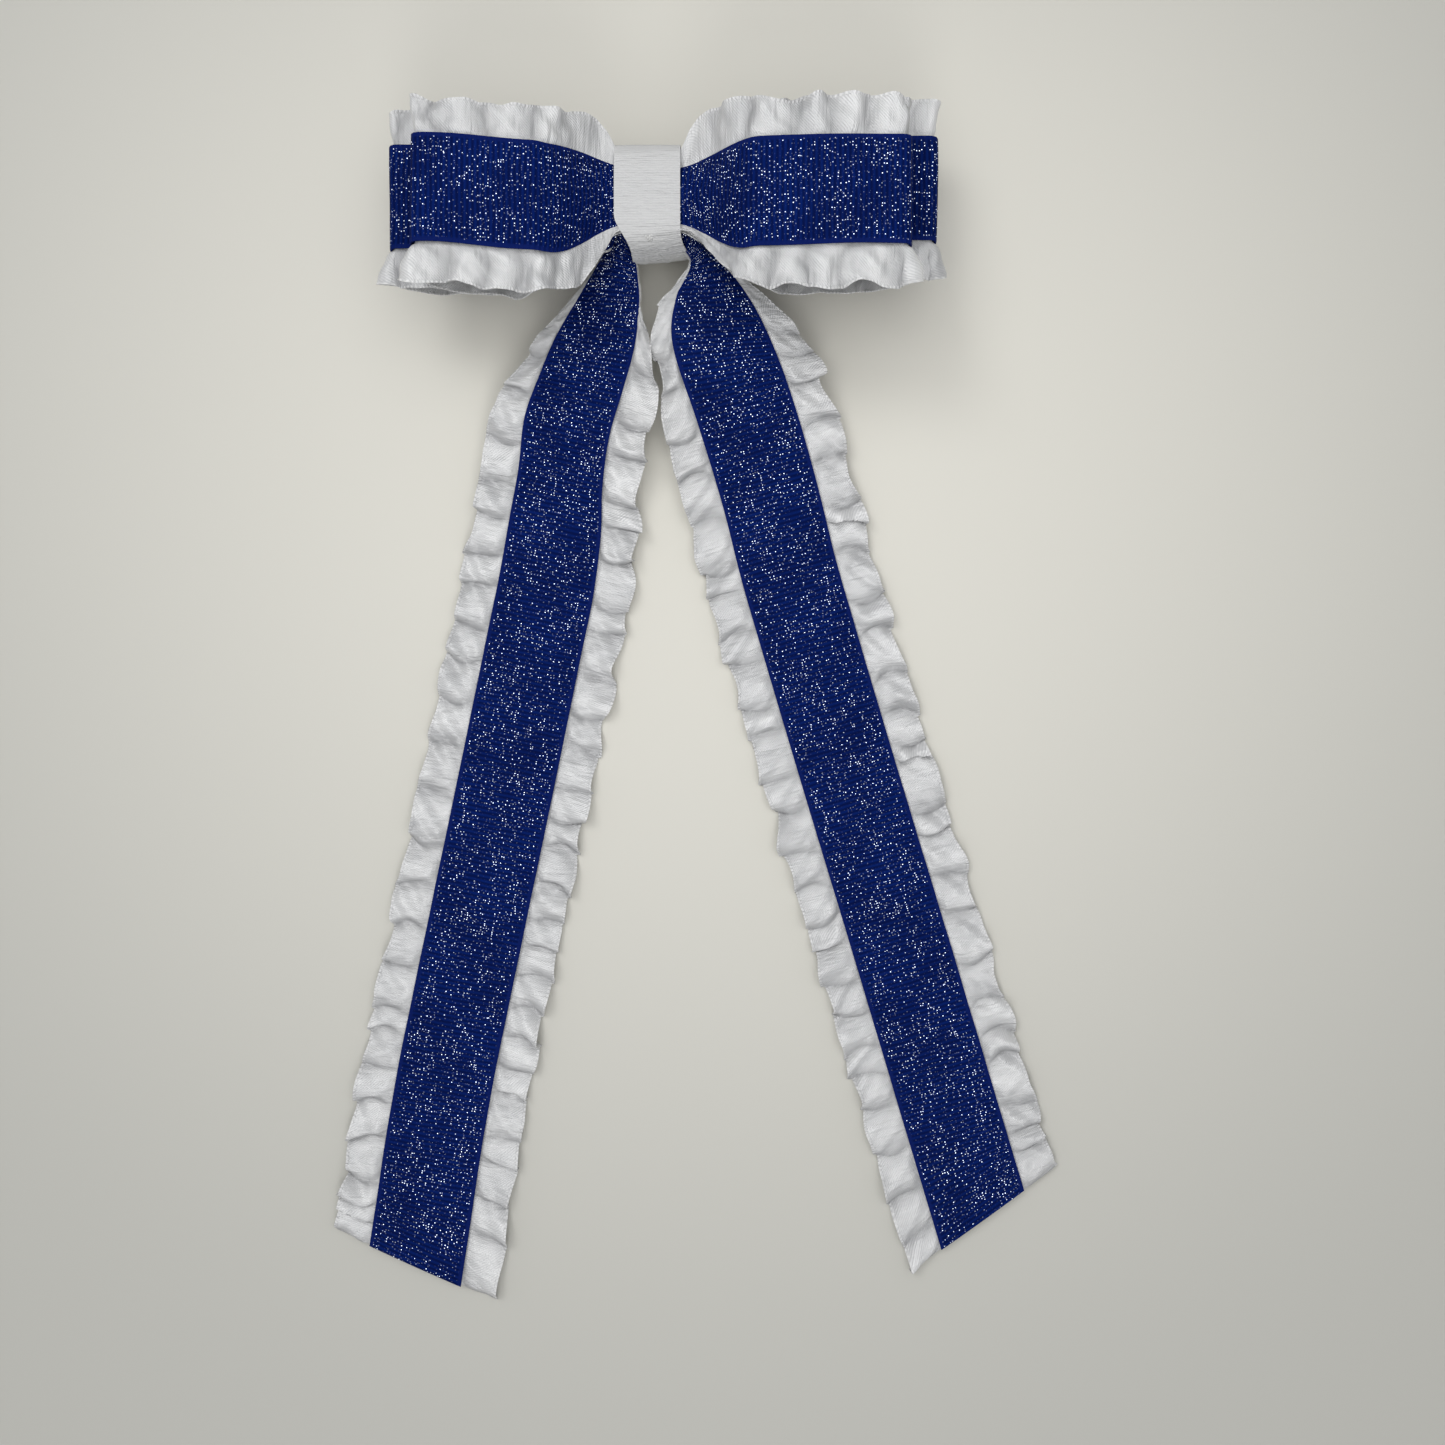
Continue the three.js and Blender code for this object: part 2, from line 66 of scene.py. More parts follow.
# Ribbons
RIBBON_WIDTH = 25.4
RUFFLE_WIDTH = 45.0
RIBBON_THICKNESS = 0.4
RUFFLE_THICKNESS = 0.28
WRAP_THICKNESS = 0.45
RIB_PITCH = 1.22
WRAP_RIB_PITCH = 0.62
TWILL_PITCH = 0.62
PICOT_PITCH = 0.95
HALF_RIBBON = RIBBON_WIDTH / 2
HALF_RUFFLE = RUFFLE_WIDTH / 2
MARGIN = HALF_RUFFLE - HALF_RIBBON

# Spacing and number of the points that lines and cloths are made of
LINE_STEP = 0.5
RIBBON_STEP = 1.0
RUFFLE_STEP = 0.42
WRAP_STEP = 0.4
RIBBON_COLUMNS = 17
MARGIN_COLUMNS = 13
FLAT_COLUMNS = 7
WRAP_COLUMNS = 25
SPLINE_POINTS = 24  # between two of the points that a spline runs through
LOOP_FACE_POINTS = 90
LOOP_END_POINTS = 50

# Waist
WAIST_Y = 1.2
PINCHED_HALF = 7.0  # half the glitter ribbon's width at the waist
WRAP_WIDTH = 16.0
HALF_WRAP = WRAP_WIDTH / 2
WRAP_RAISE = 1.3  # added to the CAD wrap's half depth along Y, and to its middle
SQUARENESS = 0.58  # the power that turns a circle into a rounded rectangle

# Satin
LOOP_UNDER = 1.3  # how far it runs under the ribbon's outer skin
TAIL_UNDER = 0.9
FLAT_SHARE = 0.94  # of the ribbon's half width, under which the satin has no folds
LEAST_MARGIN = 0.3
LEAST_HEIGHT = 0.35  # of the tails' satin over the surface

# Threads
THREAD_TURNS = 4
THREAD_INSET = 0.3  # how far a coil stays inside its CAD band
THREAD_RADIUS = 0.34
THREAD_SIDES = 8
THREAD_POINTS = 64  # in each turn
THREAD_NODES = ("back_loops_thread", "tail_fold_thread", "front_loops_thread")

# Half widths of the loops' ruffle near the waist, by distance from the middle of the bow: above and
# below the middle line on each side, below it on the back loops, and below it on every back face
LEFT_TOP_HALF = (
    (0, 9.2), (7, 9.6), (8.2, 12.0), (9.7, 16.0), (12, 19.0), (15, 20.6), (19, 21.2),
)
RIGHT_TOP_HALF = (
    (0, 9.2), (7, 9.6), (8.2, 12.0), (9.7, 16.0), (12, 19.3), (15, 21.4), (19, 22.3),
)
LEFT_LOW_HALF = (
    (0, 8.3), (7, 8.5), (8.2, 9.2), (10, 12.8), (12.5, 16.8), (15.3, 20.4), (19, 21.8),
)
RIGHT_LOW_HALF = (
    (0, 8.0), (10, 8.4), (14, 12.6), (18, 16.9), (22, 19.9), (26, 21.3), (30, 21.9),
)
BACK_LOW_HALF = ((0, 8.0), (13, 8.6), (24, 15.0), (33, 21.8))
UNDER_LOW_HALF = ((0, 7.0), (12, 7.6), (22, 14.0), (32, 20.4))

# Each pair of loops: reach to the left and right, heights of the outer faces, their heights at the
# pinched waist, the distances from the middle over which the loops open, the shift of the middle
# line along Y (near the waist and at the end, left and right), and the ruffle's lower half widths
BACK_LOOPS = {
    "reach": (63.9, 70.9), "bottom": 11.2, "top": 26.0, "pinched": (11.9, 17.0),
    "opens": 12.0, "open": 32.0, "shift": ((0.4, 0.5), (2.2, 2.6)),
    "low_half": (BACK_LOW_HALF, BACK_LOW_HALF),
}
FRONT_LOOPS = {
    "reach": (54.9, 62.4), "bottom": 27.0, "top": 42.0, "pinched": (23.3, 28.6),
    "opens": 8.0, "open": 27.0, "shift": ((-5.8, -3.8), (-4.9, -4.2)),
    "low_half": (LEFT_LOW_HALF, RIGHT_LOW_HALF),
}
LOOP_END_RADIUS = 5.0
LOOP_END_LEAN = 5.0  # how far the upper face of a loop reaches past the middle of its end
LOOP_CROWN = 0.5  # how much a loop's faces bulge

# Tails: lines across the ribbon near the waist as (outer x, y), (inner x, y) and height, then
# points of the middle line, the slant of the cut end, and the ruffle's margins as (y, width)
TAIL_REST = 2.4  # height of the ribbon where its ruffle lies on the surface
TUCK = 1.6  # how far the outer edge dips under the loops' ruffle at the waist
TUCK_LINES = 5  # lines across over which the dip fades out
LEFT_TAIL = {
    "side": -1,
    "root": [((-8.2, 3.0), (-4.0, -5.0), 18.0), ((-9.4, -3.0), (-4.9, -8.6), 16.8),
             ((-13.6, -10.6), (-4.0, -12.6), 15.2), ((-19.2, -19.6), (-3.3, -20.6), 14.0),
             ((-24.9, -29.0), (-4.6, -31.6), 12.2), ((-29.0, -37.8), (-7.6, -41.8), 10.4),
             ((-33.1, -48.5), (-11.2, -53.6), 9.2), ((-35.2, -60.6), (-13.3, -66.0), 5.4),
             ((-37.6, -73.2), (-13.8, -78.6), 4.8), ((-40.6, -88.2), (-15.9, -93.8), 2.9)],
    "line": [(-31.4, -106, TAIL_REST),
             (-38.9, -142.7, TAIL_REST), (-47.7, -185, TAIL_REST), (-56.2, -227.2, TAIL_REST),
             (-63.0, -271.0, TAIL_REST)],
    "slant": 0.275,
    "left_margin": (
        (-62, 9.8), (-54, 9.3), (-44, 7.8), (-36, 5.6), (-27, 3.4), (-20, 2.0), (-12, 0.2),
    ),
    "right_margin": ((-46, 9.8), (-38.4, 8.8), (-30, 4.2), (-26, 2.2), (-21.5, 0.3)),
}
RIGHT_TAIL = {
    "side": 1,
    "root": [((8.2, 3.0), (5.6, -5.0), 20.6), ((9.6, -2.6), (9.8, -9.4), 19.8),
             ((16.4, -9.2), (10.2, -12.2), 17.8), ((24.6, -19.0), (6.2, -20.2), 14.8),
             ((30.4, -29.2), (5.4, -31.0), 12.2)],
    "line": [(23.9, -46.5, 8.2), (30.3, -67, 5.0), (35.2, -86, 3.0), (41.0, -106, TAIL_REST),
             (51.9, -142.7, TAIL_REST), (64.7, -185, TAIL_REST), (77.3, -227.2, TAIL_REST),
             (86.8, -258.9, TAIL_REST)],
    "slant": -0.345,
    "left_margin": (
        (-55, 9.8), (-45, 8.3), (-38, 6.6), (-30, 4.9), (-20, 4.5), (-17, 2.2), (-11, 0.3),
    ),
    "right_margin": ((-44, 9.8), (-36, 9.4), (-26, 8.0), (-20, 5.0), (-12, 0.4)),
}
CUT_RUN = 26.0  # length over which the slant of a tail's cut end fades in
CUT_AIM = 5.0  # length of the end that gives the direction of that slant
RIDGE_COUNT = 60  # points of the curve that sways a tail's ribbon up and down


# ---------------------------------------------------------------- numbers

def smooth(low, high, value):
    """0 below low, 1 above high, and a soft step between."""
    share = np.clip((np.asarray(value, float) - low) / (high - low), 0, 1)
    return share * share * (3 - 2 * share)


def mix(a, b, share):
    return a + (b - a) * share


def wobble(rng, position, wave_length, size, terms=4):
    """A smooth random curve along position, of about that wave length and size."""
    total = np.zeros_like(np.asarray(position, float))
    for _ in range(terms):
        turns = rng.uniform(0.6, 1.5) / wave_length
        total += np.sin(2 * math.pi * (turns * position + rng.random())) / terms
    return total * size * 1.6


def look_up(table, value):
    """The size at a value, from a table of (value, size)."""
    places, sizes = zip(*table)
    return np.interp(value, places, sizes)


def run_along(points):
    """The distance along a line of points, at each of them."""
    return np.concatenate([[0], np.cumsum(np.linalg.norm(np.diff(points, axis=0), axis=1))])


def spline(points, step):
    """A smooth curve through points, as points a step apart."""
    knots = np.asarray(points, float)
    padded = np.vstack([2 * knots[0] - knots[1], knots, 2 * knots[-1] - knots[-2]])
    dense = []
    for a, b, c, d in zip(padded, padded[1:], padded[2:], padded[3:]):
        for share in np.linspace(0, 1, SPLINE_POINTS, endpoint=False):
            dense.append(
                0.5 * (2 * b + (c - a) * share + (2 * a - 5 * b + 4 * c - d) * share**2
                       + (3 * b - a - 3 * c + d) * share**3)
            )
    return respace(np.array([*dense, knots[-1]]), step)


def respace(points, step):
    """The same line with its points an even step apart, measured over its first three columns."""
    run = run_along(points[:, :3])
    places = np.linspace(0, run[-1], max(int(round(run[-1] / step)), 2) + 1)
    return np.stack([np.interp(places, run, points[:, k]) for k in range(points.shape[1])], axis=1)


def unit(vectors):
    return vectors / np.maximum(np.linalg.norm(vectors, axis=-1, keepdims=True), 1e-9)


def squared(value):
    """A sine or cosine changed so that a circle becomes a rounded rectangle."""
    return np.sign(value) * np.abs(value) ** SQUARENESS


def cloth_grid(along, across):
    """The uv of a cloth: millimetres along its rows and across its columns."""
    return np.stack(np.broadcast_arrays(along[:, None], across[None, :]), axis=-1)


# ---------------------------------------------------------------- meshes

def add_object(name, data):
    """Puts a mesh, a light or a camera into the scene."""
    made = bpy.data.objects.new(name, data)
    bpy.context.scene.collection.objects.link(made)
    return made


def sheet_faces(rows, columns, closed):
    """The quads of a sheet, over the points of its top and then those of its underside. closed
    joins the last row to the first."""
    index = np.arange(rows * columns).reshape(rows, columns)
    spans = rows if closed else rows - 1
    here = index[:spans]
    ahead = np.roll(index, -1, 0)[:spans]
    shift = rows * columns
    quads = []

    def add(a, b, c, d, lift, flip):
        """Quads over four index grids, on the top (lift 0) or the underside."""
        face = np.stack([a.ravel(), b.ravel(), c.ravel(), d.ravel()], 1)
        quads.append((face[:, ::-1] if flip else face) + lift)

    add(here[:, :-1], here[:, 1:], ahead[:, 1:], ahead[:, :-1], 0, False)
    add(here[:, :-1], here[:, 1:], ahead[:, 1:], ahead[:, :-1], shift, True)
    for column, flip in ((0, False), (columns - 1, True)):
        a, b = here[:, column], ahead[:, column]
        add(a, b, b + shift, a + shift, 0, flip)
    if not closed:
        for row, flip in ((0, True), (rows - 1, False)):
            a, b = index[row, :-1], index[row, 1:]
            add(a, b, b + shift, a + shift, 0, flip)
    return np.concatenate(quads)


def sheet_mesh(name, top, thickness, uv, material, closed=False, fold_shade=None):
    """A cloth of even thickness under a grid of points. uv holds millimetres of cloth, and the last
    argument, if given, how much painted shade each point gets in the folds, from 0 to 1."""
    rows, columns = top.shape[:2]
    if closed:
        along = np.roll(top, -1, 0) - np.roll(top, 1, 0)
    else:
        along = np.gradient(top, axis=0)
    normal = unit(np.cross(np.gradient(top, axis=1), along))
    under = top - normal * thickness
    points = np.concatenate([top.reshape(-1, 3), under.reshape(-1, 3)]) * MM
    faces = sheet_faces(rows, columns, closed)
    mesh = bpy.data.meshes.new(name)
    mesh.vertices.add(len(points))
    mesh.vertices.foreach_set("co", points.astype(np.float32).ravel())
    mesh.loops.add(faces.size)
    mesh.loops.foreach_set("vertex_index", faces.astype(np.int32).ravel())
    mesh.polygons.add(len(faces))
    mesh.polygons.foreach_set("loop_start", np.arange(0, faces.size, 4, dtype=np.int32))
    mesh.update(calc_edges=True)
    layer = mesh.uv_layers.new(name="cloth")
    flat = np.concatenate([uv.reshape(-1, 2)] * 2)
    corner = flat[faces.ravel()]
    if closed:
        corner = unwrap_seam(corner.reshape(-1, 4, 2), uv[-1, 0, 0] + uv[1, 0, 0] - uv[0, 0, 0])
    layer.data.foreach_set("uv", corner.astype(np.float32).ravel())
    # painted shade of the folds, kept on the points for the satin's colour
    if fold_shade is not None:
        shade_layer = mesh.attributes.new("fold_shade", "FLOAT", "POINT")
        shade_layer.data.foreach_set("value", np.tile(fold_shade.ravel(), 2).astype(np.float32))
    mesh.polygons.foreach_set("use_smooth", np.ones(len(faces), bool))
    mesh.set_sharp_from_angle(angle=math.radians(60))
    mesh.validate()
    mesh.materials.append(material)
    return add_object(name, mesh)


def unwrap_seam(corners, length):
    """Moves the uv of a face that spans a closed band's seam past the end instead of back to 0."""
    low = corners[:, :, 0].min(1)
    high = corners[:, :, 0].max(1)
    spans = (high - low) > length / 2
    wrapped = corners[:, :, 0] < length / 4
    corners[:, :, 0] += np.where(spans[:, None] & wrapped, length, 0)
    return corners


# ---------------------------------------------------------------- gathered cloth

class Folds:
    """Random folds along one edge of a ruffle. A crisp fold is a puff that leans over the crease to
    its neighbour, and a soft one is a plain wave."""

    def __init__(self, rng, length, style):
        bounds = [0.0]
        while bounds[-1] < length:
            bounds.append(bounds[-1] + rng.uniform(*style["pitch"]))
        self.bounds = np.array(bounds) * length / bounds[-1]
        count = len(bounds) - 1
        self.height = rng.uniform(*style["height"], count)
        self.lean = rng.uniform(*style["lean"], count)
        self.skew = rng.uniform(*style["skew"], count)
        self.tooth = rng.uniform(*style["tooth"], count)
        self.crisp = rng.uniform(*style["crisp"], count)
        self.near = rng.uniform(*style["near"], count)
        self.far = rng.uniform(0.65, 1.1, count)
        self.bend = np.concatenate([[0], rng.uniform(-2.2, 2.2, count - 1), [0]])
        self.fan = np.concatenate([[0], rng.uniform(-2.4, 2.4, count - 1), [0]])
        fine = [-1.0]
        while fine[-1] < length + 1:
            fine.append(fine[-1] + rng.uniform(2.4, 5.2))
        self.fine_bounds = np.array(fine)
        self.fine_height = rng.uniform(0.2, 1.0, len(fine))
        self.clouds = rng.uniform(0.5, 1.5, (5, 2)) * rng.choice([-1, 1], (5, 2))
        self.cloud_start = rng.random(5) * 2 * math.pi

    def shape(self, place, share):
        """Offsets along, across and out of the strip and the painted shade of the fold, for places
        along it and one share (0 at the ribbon's edge, 1 at the free edge)."""
        bounds = self.bounds + self.fan * (share - 0.4) + self.bend * math.sin(math.pi * share)
        which = np.clip(np.searchsorted(bounds, place, side="right") - 1, 0, len(self.height) - 1)
        start, end = bounds[which], bounds[which + 1]
        part = np.clip((place - start) / (end - start), 0, 1)

        # the fold itself, which fades in from the ribbon's edge
        wave = np.sin(math.pi * part ** self.skew[which])
        crest = mix(wave**2, wave**0.9, self.crisp[which])
        edge = float(smooth(0, 0.22, share))
        size = mix(0.1, mix(self.near[which], self.far[which], share), edge)
        height = self.height[which]
        out = size * height * crest
        along = size * self.lean[which] * height * wave**1.7
        across = share * self.tooth[which] * (part - 0.5)

        # small gathers beside the ribbon, and a broad unevenness
        fine = np.clip(np.searchsorted(self.fine_bounds, place) - 1, 0, len(self.fine_bounds) - 2)
        gap = self.fine_bounds[fine + 1] - self.fine_bounds[fine]
        small = (place - self.fine_bounds[fine]) / gap
        gather = self.fine_height[fine] * (1 - share) ** 1.4 * edge
        out = out + gather * np.sin(math.pi * small) ** 0.9
        for (turns, slant), start_angle in zip(self.clouds, self.cloud_start):
            out = out + 0.22 * edge * np.sin(turns * place + slant * share * 7 + start_angle)

        # painted shade in the folds: dark lines at a crisp fold's borders and a darker far half, the
        # side turned from the light on the tails; a soft fold darker towards its troughs; weaker by
        # the ribbon
        crease = 0.8 * np.exp(-part / 0.1) + 0.6 * np.exp(-(1 - part) / 0.06)
        crisp_shade = crease + 0.5 * smooth(0.35, 1, part)
        fold_shade = np.clip(mix(0.8 * (1 - wave), crisp_shade, self.crisp[which]), 0, 1)
        return along, across, out, fold_shade * mix(0.7, 1.0, edge)


# Ranges that folds are drawn from, with lengths in millimetres. Fullness is the length of satin
# gathered into a length of ruffle.
CRISP_FOLDS = {
    "pitch": (5.5, 13.5), "height": (1.8, 3.9), "lean": (0.0, 1.0), "skew": (0.95, 1.8),
    "tooth": (-0.3, 1.5), "crisp": (0.45, 1.0), "near": (0.2, 0.75), "fullness": 1.25,
}
SOFT_FOLDS = {
    "pitch": (7.0, 13.5), "height": (1.5, 3.2), "lean": (-0.2, 0.5), "skew": (0.8, 1.3),
    "tooth": (-0.3, 0.5), "crisp": (0.0, 0.5), "near": (0.2, 0.6), "fullness": 1.08,
}


class Strip:
    """A table, by place along a ribbon, of its middle line, its across and out directions, its half
    width and the ruffle's margins to the left and right."""

    def __init__(self, place, middle, across, out, half_ribbon, margins, closed=False):
        self.place = place
        self.table = np.concatenate(
            [middle, across, out, half_ribbon[:, None], np.stack(margins, 1)], axis=1
        )
        self.length = place[-1]
        self.closed = closed

    def at(self, place):
        """Middle, across direction, out direction, half width and the two margins at a place."""
        if self.closed:
            place = np.mod(place, self.length)
        row = np.stack(
            [np.interp(place, self.place, self.table[:, k]) for k in range(self.table.shape[1])], -1
        )
        return row[..., 0:3], row[..., 3:6], row[..., 6:9], row[..., 9], row[..., 10:12]


def ruffle_surface(strip, rng, style, calm, lift, under):
    """A gathered ribbon that runs under a plain one and folds beyond its edges. calm(place) scales
    the folds, and lift(place, side, share) raises a side's margin at a share of its width. Returns
    points, uv and the painted shade in the folds."""
    rows = int(strip.length / RUFFLE_STEP)
    place = np.linspace(0, strip.length, rows, endpoint=not strip.closed)
    shares = np.linspace(0, 1, MARGIN_COLUMNS)
    flat_part = np.linspace(-FLAT_SHARE, FLAT_SHARE, FLAT_COLUMNS)
    steadiness = calm(place)
    edges, fold_shades = [], []
    for index, side in ((0, -1), (1, 1)):
        folds = Folds(rng, strip.length, style)
        drift = wobble(rng, place, 34, 0.5)
        sway = wobble(rng, place, 19, 0.8)
        columns, column_shades = [], []
        for share in shares:
            along, across, out, fold_shade = folds.shape(place, share)
            column_shades.append(fold_shade * np.clip(steadiness, 0, 1))
            middle, sideways, outward, half_ribbon, margins = strip.at(place + along * steadiness)
            reach = half_ribbon + share * margins[:, index] + (across + sway * share) * steadiness
            point = middle + sideways * (side * reach)[:, None]
            height = (out + drift) * steadiness * mix(0.55, 1.0, share)
            height = height + lift(place, side, share) - under
            columns.append(point + outward * height[:, None])
        edges.append(columns[::-1] if side < 0 else columns)
        fold_shades.append(column_shades[::-1] if side < 0 else column_shades)
    middle, sideways, outward, half_ribbon, _ = strip.at(place)
    centre = [
        middle + sideways * (q * half_ribbon)[:, None] - outward * under for q in flat_part
    ]
    top = np.stack([*edges[0], *centre, *edges[1]], axis=1)
    level = [np.zeros(rows)] * len(flat_part)
    fold_shade = np.stack([*fold_shades[0], *level, *fold_shades[1]], axis=1)
    out_v = HALF_RIBBON + shares * MARGIN
    v = np.concatenate([-out_v[::-1], flat_part * HALF_RIBBON, out_v])
    return top, cloth_grid(place * style["fullness"], v), fold_shade


def ribbon_surface(strip, profile):
    """A plain ribbon along the strip. profile(place, q) lifts it, with q from -1 to 1 across."""
    rows = int(strip.length / RIBBON_STEP)
    place = np.linspace(0, strip.length, rows, endpoint=not strip.closed)
    middle, sideways, outward, half_ribbon, _ = strip.at(place)
    q = np.linspace(-1, 1, RIBBON_COLUMNS)
    top = middle[:, None] + sideways[:, None] * (q[None, :] * half_ribbon[:, None])[..., None]
    top = top + outward[:, None] * profile(place[:, None], q[None, :])[..., None]
    return top, cloth_grid(place, q * HALF_RIBBON)


# ---------------------------------------------------------------- materials

class Nodes:
    """A short way to build a node tree."""

    def __init__(self, name):
        self.material = bpy.data.materials.new(name)
        self.material.use_nodes = True
        self.tree = self.material.node_tree
        self.shader = self.tree.nodes["Principled BSDF"]

    def node(self, kind, inputs=(), **settings):
        made = self.tree.nodes.new(kind)
        for key, value in settings.items():
            setattr(made, key, value)
        for socket, value in dict(inputs).items():
            self.put(made.inputs[socket], value)
        return made

    def put(self, socket, value):
        if isinstance(value, bpy.types.NodeSocket):
            self.tree.links.new(value, socket)
        else:
            socket.default_value = value

    def math(self, operation, a, b=0.0, c=0.0):
        return self.node("ShaderNodeMath", {0: a, 1: b, 2: c}, operation=operation).outputs[0]

    def product(self, a, b):
        return self.math("MULTIPLY", a, b)

    def blend(self, a, size, b):
        """a times size, plus b."""
        return self.math("MULTIPLY_ADD", a, size, b)

    def wave(self, angle):
        """A wave from 0 to 1."""
        return self.blend(self.math("SINE", angle), 0.5, 0.5)

    def ribs(self, place, pitch):
        """A wave from 0 to 1, a pitch long."""
        return self.wave(self.product(place, 2 * math.pi / pitch))

    def stretch(self, vector, scale):
        return self.node("ShaderNodeMapping", {"Vector": vector, "Scale": scale}).outputs[0]

    def step(self, low, high, value):
        """A soft step from 0 at low to 1 at high."""
        made = self.node(
            "ShaderNodeMapRange", {"Value": value, "From Min": low, "From Max": high},
            interpolation_type="SMOOTHSTEP",
        )
        return made.outputs["Result"]

    def mix_colour(self, share, a, b):
        made = self.node("ShaderNodeMix", {0: share, 6: a, 7: b}, data_type="RGBA")
        return made.outputs[2]

    def noise(self, vector, scale, detail=2.0, roughness=0.5):
        made = self.node(
            "ShaderNodeTexNoise",
            {"Vector": vector, "Scale": scale, "Detail": detail, "Roughness": roughness},
        )
        return made.outputs["Fac"]

    def cloth_uv(self):
        """Millimetres along and across the cloth."""
        uv = self.node("ShaderNodeUVMap", uv_map="cloth").outputs["UV"]
        parts = self.node("ShaderNodeSeparateXYZ", {0: uv})
        return uv, parts.outputs["X"], parts.outputs["Y"]

    def bump(self, height, distance, strength, before=None):
        """The normal over a height, whose full size is a distance in millimetres."""
        inputs = {"Height": height, "Distance": distance * MM, "Strength": strength}
        if before is not None:
            inputs["Normal"] = before
        return self.node("ShaderNodeBump", inputs).outputs["Normal"]

    def finish(self, **sockets):
        """Sets the shader's inputs, with _ for the spaces in their names."""
        for name, value in sockets.items():
            self.put(self.shader.inputs[name.replace("_", " ")], value)
        return self.material


def glitter_flakes(n, along, across, presence):
    """Soft round flakes, one or none in each cell of a grid: where they are, from 0 to 1, and a
    painted glint for each, how strongly it would catch the light. presence is the share of the cells
    that hold one."""
    row_gap = RIB_PITCH / 2
    flake_gap = 0.8
    cells = n.node("ShaderNodeCombineXYZ", {
        0: n.math("DIVIDE", along, row_gap), 1: n.math("DIVIDE", across, flake_gap),
    }).outputs[0]
    cell = n.node("ShaderNodeVectorMath", {0: cells}, operation="FLOOR").outputs[0]
    within = n.node("ShaderNodeVectorMath", {0: cells}, operation="FRACTION").outputs[0]
    pick = n.node("ShaderNodeTexWhiteNoise", {"Vector": cell}, noise_dimensions="2D")
    kind = n.node("ShaderNodeSeparateColor", {0: pick.outputs["Color"]})
    spot = n.node("ShaderNodeSeparateXYZ", {0: within})

    # the distance from the flake, which lies off the middle of its cell, and its radius
    row_place = n.blend(kind.outputs[2], 0.36, 0.32)
    off_row = n.product(n.math("SUBTRACT", spot.outputs[0], row_place), row_gap)
    side_place = n.blend(kind.outputs[1], 0.6, 0.2)
    off_side = n.product(n.math("SUBTRACT", spot.outputs[1], side_place), flake_gap)
    squares = n.math("ADD", n.math("POWER", off_row, 2), n.math("POWER", off_side, 2))
    radius = n.blend(kind.outputs[0], 0.06, 0.12)
    inside = n.step(1.0, 0.45, n.math("DIVIDE", n.math("SQRT", squares), radius))

    chosen = n.math("LESS_THAN", pick.outputs["Value"], presence)
    # painted glint: a random strength for each flake, as if its face caught the light
    glint = n.math("POWER", n.math("FRACT", n.product(pick.outputs["Value"], 37.0)), 1.6)
    return n.product(inside, chosen), n.blend(glint, 0.9, 0.1)


def glitter_grosgrain():
    deep = (0.0003, 0.0025, 0.034, 1)
    lit_rib_blue = (0.0012, 0.016, 0.150, 1)
    selvage = (0.003, 0.011, 0.10, 1)
    silver = (0.80, 0.87, 1.0, 1)
    n = Nodes("glitter_grosgrain")
    uv, along, across = n.cloth_uv()
    half = n.math("ABSOLUTE", across)
    body = n.math("SUBTRACT", 1.0, n.step(HALF_RIBBON - 1.25, HALF_RIBBON - 0.75, half))

    # cross ribs, slightly uneven
    uneven = n.math("ADD", along, n.product(n.noise(uv, 0.12), 0.6))
    rib = n.ribs(uneven, RIB_PITCH)
    thread = n.noise(n.stretch(uv, (0.8, 4.0, 1)), 2.2)

    # glitter: flakes thinned out in patches, and a faint dust between them, none on the selvages.
    # The flakes' silver is their own colour; how much of it each shows, and the glow, are a painted
    # glint
    patches = n.step(0.34, 0.68, n.noise(uv, 0.17, 3.0, 0.65))
    flake, shine = glitter_flakes(n, uneven, across, n.blend(patches, 0.30, 0.11))
    flake = n.product(flake, body)
    dust = n.product(n.step(0.72, 0.80, n.noise(uv, 2.2, 0.0)), body)
    glitter_glint = n.math("MAXIMUM", n.product(flake, shine), n.product(dust, 0.05))

    # painted shading of the ribs: the blue is lighter on each rib and darker between them, partly
    # the threads' own uneven tone
    shade = n.blend(thread, 0.45, n.product(rib, 0.55))
    worn = n.step(0.3, 0.7, n.noise(uv, 0.06, 2.0))
    blue = n.mix_colour(n.product(worn, 0.35), n.mix_colour(shade, deep, lit_rib_blue), deep)
    blue = n.mix_colour(body, selvage, blue)
    weave = n.blend(rib, 0.8, n.product(thread, 0.35))
    # painted glint: flakes and dust glow a pale blue by their glint, as if catching the light
    return n.finish(
        Base_Color=n.mix_colour(glitter_glint, blue, silver), Normal=n.bump(weave, 0.22, 0.8),
        Roughness=n.blend(flake, -0.3, 0.62), Specular_IOR_Level=0.03,
        Emission_Color=(0.72, 0.80, 1.0, 1), Emission_Strength=n.product(glitter_glint, 3.6),
    )


